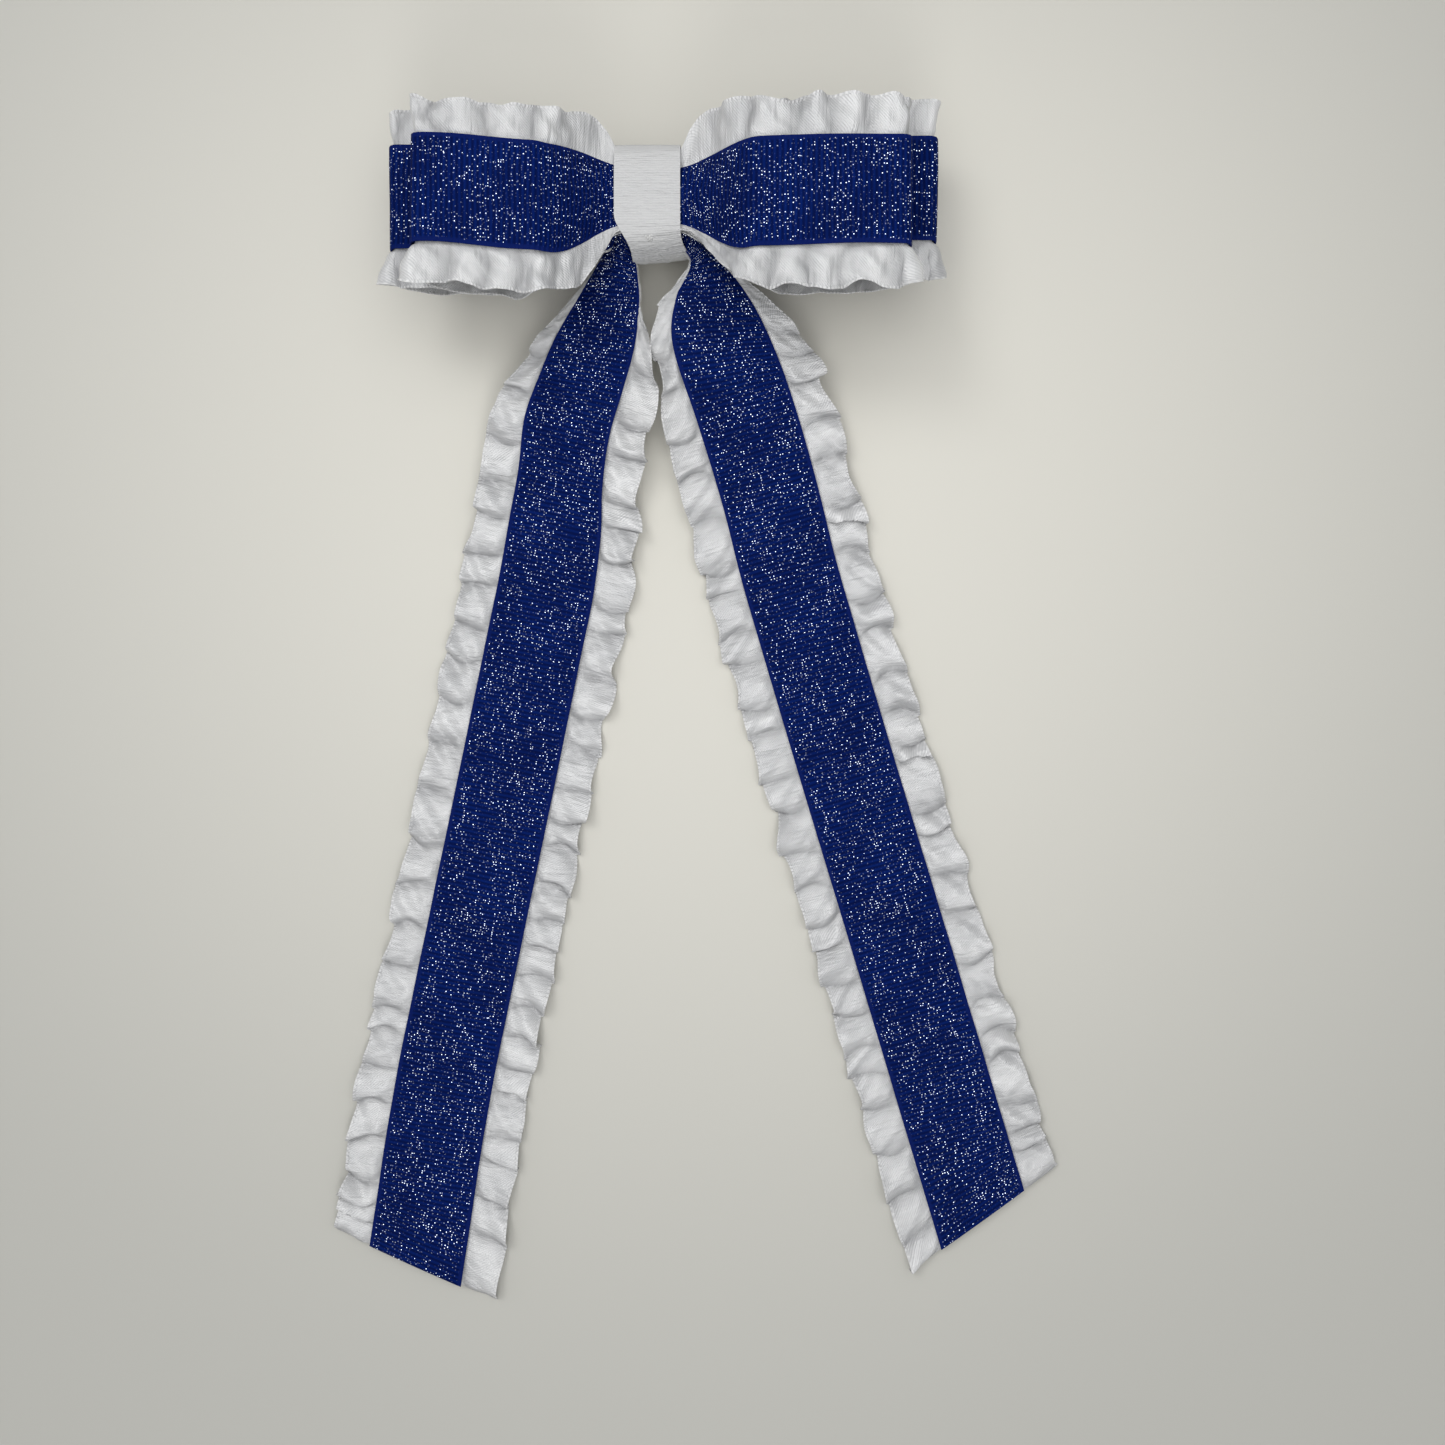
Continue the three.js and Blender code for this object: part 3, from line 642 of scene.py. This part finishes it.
def ruffle_satin():
    shaded = (0.44, 0.445, 0.455, 1)
    lit = (0.82, 0.82, 0.815, 1)
    crease_shade_grey = (0.24, 0.242, 0.25, 1)
    stitch = (0.86, 0.86, 0.85, 1)
    n = Nodes("ruffle_satin")
    uv, along, across = n.cloth_uv()
    edge = n.step(HALF_RUFFLE - 0.75, HALF_RUFFLE - 0.45, n.math("ABSOLUTE", across))

    # twill: fine slanting floats, broken up, and a stitched-looking picot along the free edges
    twill = n.ribs(n.blend(across, 0.8, along), TWILL_PITCH)
    twill = n.product(twill, n.blend(n.noise(uv, 1.6, 3.0, 0.6), 0.9, 0.25))
    picot = n.ribs(along, PICOT_PITCH)
    relief = n.mix_colour(edge, n.product(twill, 0.5), n.blend(picot, 0.9, 0.2))

    # small creases pressed in by the gathering, and broad soft lights
    crease = n.noise(n.stretch(uv, (0.42, 0.05, 1)), 1.4, 3.0, 0.55)
    sheen = n.step(0.3, 0.7, n.noise(n.stretch(uv, (0.16, 0.07, 1)), 1.0, 2.0))

    tone = n.blend(sheen, 0.35, n.blend(twill, 0.4, n.product(crease, 0.3)))
    white = n.mix_colour(tone, shaded, lit)
    # painted shade: the satin darkens towards grey in its folds' creases, by the shade kept on its
    # points
    fold_shade = n.node("ShaderNodeAttribute", attribute_name="fold_shade").outputs["Fac"]
    white = n.mix_colour(n.product(fold_shade, 0.95), white, crease_shade_grey)
    white = n.mix_colour(n.product(n.product(edge, picot), 0.45), white, stitch)
    return n.finish(
        Base_Color=white, Normal=n.bump(relief, 0.18, 0.9, n.bump(crease, 0.9, 0.8)),
        Roughness=n.blend(edge, 0.2, 0.36), IOR=1.75, Specular_IOR_Level=0.9,
        Sheen_Weight=0.2, Sheen_Roughness=0.4,
    )


def wrap_grosgrain():
    shaded = (0.54, 0.542, 0.542, 1)
    lit = (0.65, 0.65, 0.645, 1)
    n = Nodes("wrap_grosgrain")
    uv, along, _ = n.cloth_uv()
    rib = n.ribs(n.math("ADD", along, n.product(n.noise(uv, 0.5), 0.35)), WRAP_RIB_PITCH)
    thread = n.noise(n.stretch(uv, (0.5, 2.0, 1)), 1.8, 3.0)
    long_crease = n.noise(n.stretch(uv, (0.5, 0.09, 1)), 0.9, 3.0, 0.6)
    colour = n.mix_colour(n.blend(rib, 0.4, n.product(thread, 0.6)), shaded, lit)
    weave = n.blend(rib, 0.6, n.product(thread, 0.5))
    return n.finish(
        Base_Color=colour, Normal=n.bump(weave, 0.12, 0.8, n.bump(long_crease, 1.2, 0.6)),
        Roughness=0.72, Specular_IOR_Level=0.3, Sheen_Weight=0.2,
    )


def stamped_steel(name, tone, roughness):
    n = Nodes(name)
    place = n.node("ShaderNodeTexCoord").outputs["Object"]
    brushed = n.noise(n.stretch(place, (60, 2600, 2600)), 1.0, 4.0)
    smear = n.noise(place, 160, 3.0)
    shade = n.blend(brushed, 0.5, n.product(smear, 0.5))
    dull = [t * 0.85 for t in tone]
    return n.finish(
        Base_Color=n.mix_colour(shade, [*dull, 1], [*tone, 1]), Metallic=1.0,
        Normal=n.bump(brushed, 0.02, 0.4), Roughness=n.blend(smear, 0.18, roughness),
    )


def sewing_thread():
    shaded = (0.5, 0.5, 0.49, 1)
    lit = (0.74, 0.74, 0.73, 1)
    n = Nodes("sewing_thread")
    _, along, across = n.cloth_uv()
    strands = n.wave(n.math("ADD", n.product(along, 9.0), n.product(across, 4.0)))
    return n.finish(
        Base_Color=n.mix_colour(strands, shaded, lit), Normal=n.bump(strands, 0.08, 0.9),
        Roughness=0.7, Specular_IOR_Level=0.3,
    )


def hot_glue():
    amber = (0.66, 0.62, 0.5, 1)
    clear = (0.82, 0.79, 0.7, 1)
    n = Nodes("hot_glue")
    cloud = n.noise(n.node("ShaderNodeTexCoord").outputs["Object"], 420, 3.0)
    return n.finish(
        Base_Color=n.mix_colour(cloud, amber, clear), Normal=n.bump(cloud, 0.2, 0.6),
        Roughness=0.3, Subsurface_Weight=0.15,
    )


# ---------------------------------------------------------------- loops

def loop_line(loops):
    """Points once round both loops in the X-Z plane, along the ribbon's outer skin."""
    middle_pinched = sum(loops["pinched"]) / 2
    half_pinched = (loops["pinched"][1] - loops["pinched"][0]) / 2
    middle_full = (loops["top"] + loops["bottom"]) / 2
    half_full = (loops["top"] - loops["bottom"]) / 2
    points = []

    def add(x, height):
        """Adds a point at a height from -1 (the lower face) to 1 (the upper face)."""
        opening = float(smooth(loops["opens"], loops["open"], abs(x)))
        crown = LOOP_CROWN * math.sin(math.pi * min(abs(x) / 60, 1)) * opening
        half = mix(half_pinched, half_full, opening) + crown * (1 if height > 0 else 0.3)
        points.append((x, 0.0, mix(middle_pinched, middle_full, opening) + height * half))

    for side, reach in ((1, loops["reach"][1]), (-1, loops["reach"][0])):
        turn = reach - math.hypot(LOOP_END_RADIUS, LOOP_END_LEAN)
        for x in np.linspace(0, turn + side * LOOP_END_LEAN, LOOP_FACE_POINTS, False):
            add(side * x, side)
        for angle in np.linspace(math.pi / 2, -math.pi / 2, LOOP_END_POINTS):
            height = side * math.sin(angle)
            add(side * (turn + LOOP_END_RADIUS * math.cos(angle) + LOOP_END_LEAN * height), height)
        for x in np.linspace(turn - side * LOOP_END_LEAN, 0, LOOP_FACE_POINTS, False)[1:]:
            add(side * x, -side)
    return respace(np.array([*points, points[0]]), LINE_STEP)


def pick_side(x, left, right):
    """A half width by distance from the middle, from a table for the left and one for the right."""
    return np.where(x < 0, look_up(left, np.abs(x)), look_up(right, np.abs(x)))


def loop_strip(loops):
    """The strip of a pair of loops, turning from its front face, round the right end, along the
    back and round the left end. Its across direction is +Y."""
    line = loop_line(loops)
    x = line[:, 0]
    along = unit(np.roll(line[:-1], -1, 0) - np.roll(line[:-1], 1, 0))
    along = np.vstack([along, along[:1]])
    out = np.stack([-along[:, 2], np.zeros(len(x)), along[:, 0]], 1)
    left, right = loops["shift"]
    near = np.where(x < 0, left[0], right[0])
    far = np.where(x < 0, left[1], right[1])
    shift = mix(near, far, smooth(26, 52, np.abs(x))) * smooth(8, 24, np.abs(x))
    middle = line + np.stack([np.zeros(len(x)), WAIST_Y + shift, np.zeros(len(x))], 1)
    widening = np.where(x < 0, smooth(4, 22, -x), smooth(6, 24, x))
    half_ribbon = mix(PINCHED_HALF, HALF_RIBBON, widening)
    front = smooth(-0.5, 0.5, out[:, 2])
    low = mix(look_up(UNDER_LOW_HALF, np.abs(x)), pick_side(x, *loops["low_half"]), front)
    high = pick_side(x, LEFT_TOP_HALF, RIGHT_TOP_HALF)
    margins = [np.maximum(half - half_ribbon, LEAST_MARGIN) for half in (low, high)]
    across = np.tile([0.0, 1.0, 0.0], (len(x), 1))
    return Strip(run_along(line), middle, across, out, half_ribbon, margins, closed=True)


def pinch_profile(strip):
    """How the ribbon bows near the waist: arched across, with a shallow dip along the middle."""
    def profile(place, q):
        middle, _, out, _, _ = strip.at(place)
        x = np.abs(middle[..., 0])
        pinch = 1 - smooth(7, 30, x)
        arch = -1.5 * q**2 + 0.55 * np.cos(math.pi * q) ** 2 * np.exp(-((q * 1.6) ** 2))
        sway = 0.18 * np.sin(x / 5.5 + 1.5 * q) * smooth(12, 30, x)
        return pinch * arch * np.where(out[..., 2] > 0, 1.0, 0.6) - 0.12 * q**4 + sway
    return profile


def make_loops(name, loops, rng, amount):
    """The ribbon and the ruffle of one pair of loops. amount scales the ruffle's folds."""
    strip = loop_strip(loops)

    def calm(place):
        """Smaller folds near the waist and on the back faces."""
        middle, _, out, _, _ = strip.at(place)
        held = mix(0.25, 1.0, smooth(9, 25, np.abs(middle[..., 0])))
        return held * mix(0.45, 1.0, smooth(-0.6, 0.6, out[..., 2])) * amount

    def lift(place, side, share):
        """The margins droop along the faces and flare out round the loops' ends, mostly below."""
        middle, _, out, _, _ = strip.at(place)
        x = np.abs(middle[..., 0])
        turn = 1 - np.abs(out[..., 2])
        droop = np.where(out[..., 2] > 0, -1.4, -3.2) if side < 0 else -0.6
        flare = 3.6 if side < 0 else 0.5
        face_lift = droop * smooth(14, 34, x) * (1 - turn) * share
        return face_lift + flare * turn * (x > 40) * share**0.45

    top, uv = ribbon_surface(strip, pinch_profile(strip))
    ribbon = sheet_mesh(f"{name}_glitter_ribbon", top, RIBBON_THICKNESS, uv, GLITTER, closed=True)
    dress(ribbon, "bow", [f"{name}_ribbon"])
    top, uv, fold_shade = ruffle_surface(strip, rng, SOFT_FOLDS, calm, lift, LOOP_UNDER)
    ruffle = sheet_mesh(
        f"{name}_satin_ruffle", top, RUFFLE_THICKNESS, uv, SATIN, closed=True, fold_shade=fold_shade
    )
    dress(ruffle, "bow", [f"{name}_ruffle"])


def dress(piece, body, nodes):
    """Puts a piece in place of plain CAD solids, and on their body if one is given."""
    if body is not None:
        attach(piece, body)
    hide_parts(*nodes)


# ---------------------------------------------------------------- tails

def tail_strip(tail):
    """The strip of a tail, from the ribbon's edges between the wrap and the cut end."""
    outer = [(*a, z - TUCK * max(1 - k / TUCK_LINES, 0)) for k, (a, _, z) in enumerate(tail["root"])]
    inner = [(*b, z) for _, b, z in tail["root"]]
    line = np.array(tail["line"], float)
    tangent = unit(np.gradient(line, axis=0) * [1, 1, 0])
    side = tail["side"]
    outward = np.stack([tangent[:, 1], -tangent[:, 0], np.zeros(len(line))], 1) * -side
    for point, away in zip(line, outward):
        outer.append(point + away * HALF_RIBBON)
        inner.append(point - away * HALF_RIBBON)
    path = spline(np.concatenate([np.array(outer), np.array(inner)], axis=1), LINE_STEP)
    outer, inner = path[:, :3], path[:, 3:]
    left, right = (outer, inner) if side < 0 else (inner, outer)
    middle = (left + right) / 2
    width = np.linalg.norm(right - left, axis=1)
    across = unit(right - left)
    along = unit(np.gradient(middle, axis=0))
    out = unit(np.cross(across, along))
    out = np.where(out[:, 2:] < 0, -out, out)
    margins = [look_up(tail[key], middle[:, 1]) for key in ("left_margin", "right_margin")]
    return Strip(run_along(middle), middle, across, out, width / 2, margins)


def tail_cut(tail, strip, top):
    """Slides the last rows along the tail so that its end is cut on a slant."""
    middle, across, _, _, _ = strip.at(np.array([strip.length - CUT_AIM, strip.length]))
    end = middle[1]
    tangent = unit(end - middle[0])
    sideways = (top - end) @ across[1]
    share = 1 - smooth(0, CUT_RUN, (end - top) @ tangent)
    return top + (sideways * tail["slant"] * share)[..., None] * tangent


def make_tail(name, tail, rng):
    """The ribbon and the ruffle of one tail. The left one starts with the strip's folded middle."""
    strip = tail_strip(tail)
    posts = np.linspace(0, strip.length, RIDGE_COUNT)
    ridges = wobble(rng, posts, 30, 0.25)

    def profile(place, q):
        """The ribbon sways up and down, and is arched across where it is pinched."""
        sway = np.interp(place, posts, ridges)
        pinch = 1 - smooth(0, 45, place)
        return sway + 0.25 * (1 - q**2) - pinch * (2.2 * q**2 - 0.9)

    def calm(place):
        return smooth(6, 42, place)

    def lift(_place, _side, share):
        return -0.7 * share

    top, uv = ribbon_surface(strip, profile)
    top = tail_cut(tail, strip, top)
    ribbon = sheet_mesh(f"{name}_glitter_ribbon", top, RIBBON_THICKNESS, uv, GLITTER)
    nodes = [f"{name}_ribbon"] + (["tail_fold_ribbon"] if tail["side"] < 0 else [])
    dress(ribbon, None, nodes)
    top, uv, fold_shade = ruffle_surface(strip, rng, CRISP_FOLDS, calm, lift, TAIL_UNDER)
    top = tail_cut(tail, strip, top)
    top[..., 2] = np.maximum(top[..., 2], LEAST_HEIGHT)
    ruffle = sheet_mesh(f"{name}_satin_ruffle", top, RUFFLE_THICKNESS, uv, SATIN, fold_shade=fold_shade)
    nodes = [f"{name}_ruffle"] + (["tail_fold_ruffle"] if tail["side"] < 0 else [])
    dress(ruffle, None, nodes)
    for piece in (ribbon, ruffle):
        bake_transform(piece)


# ---------------------------------------------------------------- wrap

def wrap_ring():
    """Points once round the wrap in the Y-Z plane, with the first again at the end."""
    y_low, y_high = [corner[1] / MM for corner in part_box("center_wrap")]
    z_low, z_high = [corner[2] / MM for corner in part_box("center_wrap")]
    angle = np.linspace(0, 2 * math.pi, 361)
    y = (y_high + y_low) / 2 + WRAP_RAISE
    y = y + ((y_high - y_low) / 2 + WRAP_RAISE) * squared(np.cos(angle))
    z = (z_high + z_low) / 2 + (z_high - z_low) / 2 * squared(np.sin(angle))
    return respace(np.stack([np.zeros_like(y), y, z], 1), WRAP_STEP)


def make_wrap(rng):
    """A ribbon once round the waist and the barrette's plate, its lower corner drawn aside."""
    ring = wrap_ring()
    run = run_along(ring)
    ring, run, length = ring[:-1], run[:-1], run[-1]
    along = unit(np.roll(ring, -1, 0) - np.roll(ring, 1, 0))
    out = np.stack([np.zeros(len(ring)), along[:, 2], -along[:, 1]], 1)
    q = np.linspace(-1, 1, WRAP_COLUMNS)
    from_left = (q[None, :] + 1) / 2

    # both sides lean to the right below the waist, and the lower left corner is drawn aside
    down, height = -ring[:, 1], ring[:, 2]
    below = smooth(-4, 6, down)
    corner = smooth(4, 13.5, down) * smooth(2, 10, height)
    left_aside = np.maximum(4.7 * corner, 3.2 * below * (1 - smooth(9, 26, height)))
    right_aside = 2.2 * below * (1 - smooth(12, 29, height))
    left = -HALF_WRAP - 0.3 + left_aside
    right = HALF_WRAP - 0.2 + right_aside
    top = ring[:, None] * np.ones((1, len(q), 1))
    top[..., 0] = mix(left[:, None], right[:, None], from_left)
    top[..., 1] += 1.9 * corner[:, None] * from_left**1.5

    # wrinkles on the lower part of the front
    wrinkled = smooth(0, 1, (down - 1) / 9) * smooth(4, 14, height)
    wrinkles = sum(
        wobble(rng, run[:, None] + 1.6 * wobble(rng, q[None, :] * 8, 9, 1.0), 1.7, 0.12, 2)
        for _ in range(2)
    )
    lift = wrinkles * wrinkled[:, None] * 0.7 + 0.12 * (1 - q[None, :] ** 4)
    top = top + out[:, None] * lift[..., None]
    uv = cloth_grid(run, q * HALF_WRAP)
    wrap = sheet_mesh("center_wrap_band", top[::-1], WRAP_THICKNESS, uv, WRAP, closed=True)
    dress(wrap, "bow", ["center_wrap"])


# ---------------------------------------------------------------- threads

def thread_line(node):
    """The middle line of a thread wound round a node's box, and the thread's radius."""
    low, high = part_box(node)
    middle = [(a + b) / 2 / MM for a, b in zip(low, high)]
    half = [(b - a) / 2 / MM - THREAD_INSET for a, b in zip(low, high)]
    radius = min(THREAD_RADIUS, half[0] / THREAD_TURNS)
    angle = np.linspace(0, 2 * math.pi * THREAD_TURNS, THREAD_POINTS * THREAD_TURNS)
    x = middle[0] + np.linspace(-1, 1, len(angle)) * (half[0] - radius)
    y = middle[1] + (half[1] - radius) * squared(np.cos(angle))
    z = middle[2] + (half[2] - radius) * squared(np.sin(angle))
    return np.stack([x, y, z], 1), radius


def make_thread(node, material):
    """A sewing thread wound several times round the pinched ribbons, in place of a plain band."""
    line, radius = thread_line(node)
    along = unit(np.gradient(line, axis=0))
    side = unit(np.cross(along, [1.0, 0.0, 0.0]))
    up = np.cross(side, along)
    turn = np.linspace(0, 2 * math.pi, THREAD_SIDES, endpoint=False)
    ring = side[:, None] * np.cos(turn)[None, :, None] + up[:, None] * np.sin(turn)[None, :, None]
    points = (line[:, None] + ring * radius).reshape(-1, 3) * MM
    index = np.arange(len(points)).reshape(len(line), THREAD_SIDES)
    ahead = np.roll(index, -1, 1)
    quads = np.stack([index[:-1], ahead[:-1], ahead[1:], index[1:]], -1).reshape(-1, 4)
    faces = [*quads.tolist(), index[0][::-1].tolist(), index[-1].tolist()]
    mesh = bpy.data.meshes.new(f"{node}_coil")
    mesh.from_pydata(points.tolist(), [], faces)
    flat = cloth_grid(run_along(line), turn * radius).reshape(-1, 2)
    layer = mesh.uv_layers.new(name="cloth")
    corners = np.zeros(len(mesh.loops), np.int32)
    mesh.loops.foreach_get("vertex_index", corners)
    layer.data.foreach_set("uv", flat[corners].astype(np.float32).ravel())
    mesh.polygons.foreach_set("use_smooth", np.ones(len(mesh.polygons), bool))
    mesh.materials.append(material)
    dress(add_object(f"{node}_coil", mesh), "bow", [node])


# ---------------------------------------------------------------- stage, light and camera

CAMERA_PLACE = (18.1, -127.5, 340.0)
FOCAL_SHARE = 1278 / 1445  # focal length over the width of the view
FLOOR_HALF = 15.0  # metres, so that its edge is never seen


def make_camera():
    data = bpy.data.cameras.new("camera")
    data.sensor_width = 36
    data.lens = data.sensor_width * FOCAL_SHARE
    data.clip_start = 0.01
    camera = add_object("camera", data)
    camera.location = [c * MM for c in CAMERA_PLACE]
    bpy.context.scene.camera = camera


def pale_floor():
    """A pale surface with a painted pool of light: warmer and lighter around the bow's upper half.
    """
    plain = (0.52, 0.515, 0.475, 1)
    pool_lit_tone = (0.72, 0.702, 0.635, 1)
    n = Nodes("pale_floor")
    place = n.node("ShaderNodeTexCoord").outputs["Object"]
    # painted pool of light: the floor's colour lightens towards a spot near the bow
    away = n.node("ShaderNodeVectorMath", {0: place, 1: (0.02, -0.04, 0)}, operation="DISTANCE")
    light_pool = n.step(0.30, 0.02, away.outputs["Value"])
    colour = n.mix_colour(light_pool, plain, pool_lit_tone)
    return n.finish(Base_Color=colour, Roughness=0.55, Specular_IOR_Level=0.25)


def make_floor():
    mesh = bpy.data.meshes.new("floor")
    corners = [(x * FLOOR_HALF, y * FLOOR_HALF, 0) for x, y in ((-1, -1), (1, -1), (1, 1), (-1, 1))]
    mesh.from_pydata(corners, [], [(0, 1, 2, 3)])
    mesh.materials.append(pale_floor())
    add_object("floor", mesh)


def make_light(name, place, target, size, power):
    """A round lamp at a place, turned to a target, both in metres."""
    data = bpy.data.lights.new(name, "AREA")
    data.shape = "DISK"
    data.size = size
    data.energy = power
    lamp = add_object(name, data)
    lamp.location = place
    direction = Vector(target) - Vector(place)
    lamp.rotation_euler = direction.to_track_quat("-Z", "Y").to_euler()


def make_world():
    world = bpy.data.worlds.new("soft_world")
    world.use_nodes = True
    background = world.node_tree.nodes["Background"]
    background.inputs["Color"].default_value = (0.97, 0.98, 1.0, 1)
    background.inputs["Strength"].default_value = 0.38
    bpy.context.scene.world = world


def set_colours():
    """Shows colours as they are, so that whites and blues keep their strength."""
    bpy.context.scene.view_settings.view_transform = "Standard"


# ---------------------------------------------------------------- CAD nodes that show as they are

def paint_nodes(looks):
    """Gives each of these nodes its look, by material slot."""
    for part in frame["record"]["subparts"]:
        look = looks.get(part["material_slot"])
        if look is not None:
            mesh = frame["nodes"][part["node"]].data
            mesh.materials.clear()
            mesh.materials.append(look)


# ---------------------------------------------------------------- build

make_camera()
make_floor()
make_world()
set_colours()
make_light("window", place=(-0.6, 0.55, 1.2), target=(0.018, -0.10, 0), size=0.6, power=4.2)
make_light("overhead", place=(0.018, -0.06, 0.45), target=(0.018, -0.06, 0), size=0.55, power=1.12)
make_light("front", place=(0.018, -1.6, 1.2), target=(0.018, -0.05, 0), size=0.8, power=7.0)

GLITTER = glitter_grosgrain()
SATIN = ruffle_satin()
WRAP = wrap_grosgrain()
THREAD = sewing_thread()
NODE_LOOKS = {
    "barrette_steel": stamped_steel("plated_steel", tone=(0.72, 0.73, 0.74), roughness=0.24),
    "spring_steel": stamped_steel("polished_spring_steel", tone=(0.66, 0.67, 0.69), roughness=0.18),
    "hot_glue": hot_glue(),
}

make_loops("front_loops", FRONT_LOOPS, np.random.default_rng(SEED), amount=1.0)
make_loops("back_loops", BACK_LOOPS, np.random.default_rng(SEED + 1), amount=0.8)
make_tail("left_tail", LEFT_TAIL, np.random.default_rng(SEED + 2))
make_tail("right_tail", RIGHT_TAIL, np.random.default_rng(SEED + 3))
make_wrap(np.random.default_rng(SEED + 4))
for thread_node in THREAD_NODES:
    make_thread(thread_node, THREAD)
paint_nodes(NODE_LOOKS)
